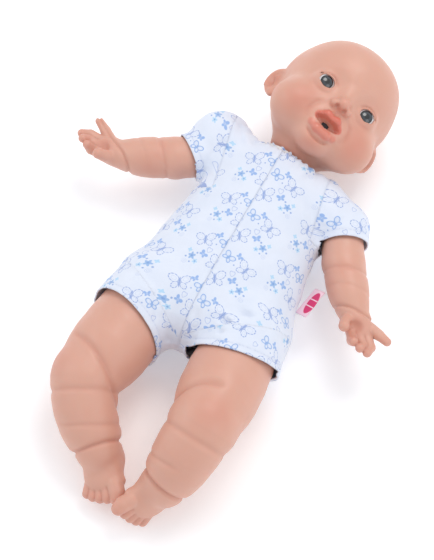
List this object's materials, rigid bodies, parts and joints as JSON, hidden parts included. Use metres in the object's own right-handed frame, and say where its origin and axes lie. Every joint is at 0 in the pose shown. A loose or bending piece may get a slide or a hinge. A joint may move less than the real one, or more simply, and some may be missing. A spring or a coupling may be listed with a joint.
{
  "type": "interactive baby doll",
  "caption": "Soft-bodied baby doll lying on its back: vinyl head, arms and legs on a printed cloth body, fixed eyes, open mouth, and a sound module inside.",
  "frame": {"origin": "centre of the flat stretch of the back, on the surface that the doll lies on", "axes": "+X is the doll's left, +Y points to the crown of the head, +Z is the doll's front, away from the surface"},
  "size_m": [0.3086, 0.4419, 0.1092],
  "materials": {
    "vinyl": "soft satin vinyl, skin tone",
    "jersey": "light bluish-white cotton jersey with a small blue print",
    "fibre": "white polyester fibre filling",
    "case_plastic": "matt white moulded plastic",
    "dark_plastic": "matt black moulded plastic",
    "steel": "bright zinc-plated steel",
    "board_green": "green circuit board",
    "tie": "white nylon tie",
    "strip": "white hook-and-loop strip",
    "label": "pale pink woven label with a plain magenta band",
    "eye_white": "glossy white",
    "eye_grey": "dark grey iris with a black pupil and rim",
    "eye_clear": "clear glossy acrylic",
    "cell_coat": "plain printed battery sleeve"
  },
  "bodies": {
    "torso": {"torso_front_left_panel": "jersey", "torso_front_right_panel": "jersey", "torso_back_panel": "jersey", "fibre_filling": "fibre", "loop_strip": "strip", "side_label": "label", "sensor_lead_body": "dark_plastic", "case_back": "case_plastic", "case_front": "case_plastic", "circuit_board": "board_green", "sound_chip": "dark_plastic", "tact_switch": "dark_plastic", "speaker_magnet": "steel", "speaker_frame": "steel", "speaker_cone": "dark_plastic", "cell_left": "cell_coat", "cell_middle": "cell_coat", "cell_right": "cell_coat", "battery_contact_lower": "steel", "battery_contact_upper": "steel", "case_screw_1": "steel", "case_screw_2": "steel", "case_screw_3": "steel", "case_screw_4": "steel", "slide_switch": "dark_plastic", "press_spring": "steel"},
    "collar": {"neck_collar": "jersey", "neck_tie": "tie"},
    "head": {"head_shell": "vinyl", "eyeball_left": "eye_white", "eyeball_right": "eye_white", "iris_left": "eye_grey", "iris_right": "eye_grey", "cornea_left": "eye_clear", "cornea_right": "eye_clear", "eye_retainer_left": "case_plastic", "eye_retainer_right": "case_plastic", "mouth_sensor_housing": "dark_plastic", "mouth_spring": "steel", "sensor_lead_head": "dark_plastic"},
    "mouth_button": {"mouth_plunger": "dark_plastic"},
    "button": {"press_button": "dark_plastic"},
    "power_knob": {"switch_knob": "dark_plastic"},
    "flap": {"back_flap": "jersey", "hook_strip": "strip"},
    "door": {"battery_door": "case_plastic"},
    "door_fastener": {"door_screw": "steel"},
    "shoulder_left": {"sleeve_left": "jersey", "sleeve_tie_left": "tie"},
    "arm_left": {"arm_left_shell": "vinyl"},
    "hip_left": {"leg_cover_left": "jersey", "leg_tie_left": "tie"},
    "leg_left": {"leg_left_shell": "vinyl"},
    "shoulder_right": {"sleeve_right": "jersey", "sleeve_tie_right": "tie"},
    "arm_right": {"arm_right_shell": "vinyl"},
    "hip_right": {"leg_cover_right": "jersey", "leg_tie_right": "tie"},
    "leg_right": {"leg_right_shell": "vinyl"}
  },
  "joints": [
    {"name": "neck_tilt", "type": "hinge", "parent": "torso", "child": "collar", "pos_m": [-0.0025, 0.0855, 0.046], "axis": [0, 0, 1], "range_deg": [-4, 16]},
    {"name": "head_turn", "type": "hinge", "parent": "collar", "child": "head", "pos_m": [-0.0025, 0.0855, 0.046], "axis": [0.1392, 0.9903, 0], "range_deg": [-70, 35]},
    {"name": "mouth_press", "type": "slide", "parent": "head", "child": "mouth_button", "axis": [-0.371, 0.0521, -0.9272], "range_m": [0, 0.002], "stiffness_N_per_m": 150, "springref_m": -0.001, "deforming": ["mouth_spring"]},
    {"name": "belly_press", "type": "slide", "parent": "torso", "child": "button", "axis": [0, 0, -1], "range_m": [0, 0.0023], "stiffness_N_per_m": 250, "springref_m": -0.001, "deforming": ["press_spring"]},
    {"name": "power_slide", "type": "slide", "parent": "torso", "child": "power_knob", "axis": [0, 1, 0], "range_m": [0, 0.004]},
    {"name": "flap_open", "type": "hinge", "parent": "torso", "child": "flap", "pos_m": [0, 0.0715, 0], "axis": [1, 0, 0], "range_deg": [0, 110]},
    {"name": "door_lift", "type": "slide", "parent": "torso", "child": "door", "axis": [0, 0, -1], "range_m": [0, 0.006]},
    {"name": "door_screw_turn", "type": "hinge", "parent": "door", "child": "door_fastener", "pos_m": [0, 0.0623, 0.013], "axis": [0, 0, 1], "continuous": true},
    {"name": "shoulder_left_swing", "type": "hinge", "parent": "torso", "child": "shoulder_left", "pos_m": [0.063, 0.071, 0.042], "axis": [0, 0, 1], "range_deg": [0, 95]},
    {"name": "arm_left_twist", "type": "hinge", "parent": "shoulder_left", "child": "arm_left", "pos_m": [0.063, 0.071, 0.042], "axis": [0.4384, -0.8988, 0], "range_deg": [-40, 40]},
    {"name": "hip_left_lift", "type": "hinge", "parent": "torso", "child": "hip_left", "pos_m": [0.042, -0.061, 0.042], "axis": [-1, 0, 0], "range_deg": [-8, 65]},
    {"name": "leg_left_twist", "type": "hinge", "parent": "hip_left", "child": "leg_left", "pos_m": [0.042, -0.061, 0.042], "axis": [0.0879, -0.9643, 0.2498], "range_deg": [0, 40]},
    {"name": "shoulder_right_swing", "type": "hinge", "parent": "torso", "child": "shoulder_right", "pos_m": [-0.053, 0.08, 0.042], "axis": [0, 0, -1], "range_deg": [-27, 66]},
    {"name": "arm_right_twist", "type": "hinge", "parent": "shoulder_right", "child": "arm_right", "pos_m": [-0.053, 0.08, 0.042], "axis": [-0.8192, -0.5736, 0], "range_deg": [-40, 40]},
    {"name": "hip_right_lift", "type": "hinge", "parent": "torso", "child": "hip_right", "pos_m": [-0.042, -0.061, 0.042], "axis": [-1, 0, 0], "range_deg": [-8, 78]},
    {"name": "leg_right_twist", "type": "hinge", "parent": "hip_right", "child": "leg_right", "pos_m": [-0.042, -0.061, 0.042], "axis": [0.098, 0.9946, -0.035], "range_deg": [0, 40]}
  ]
}
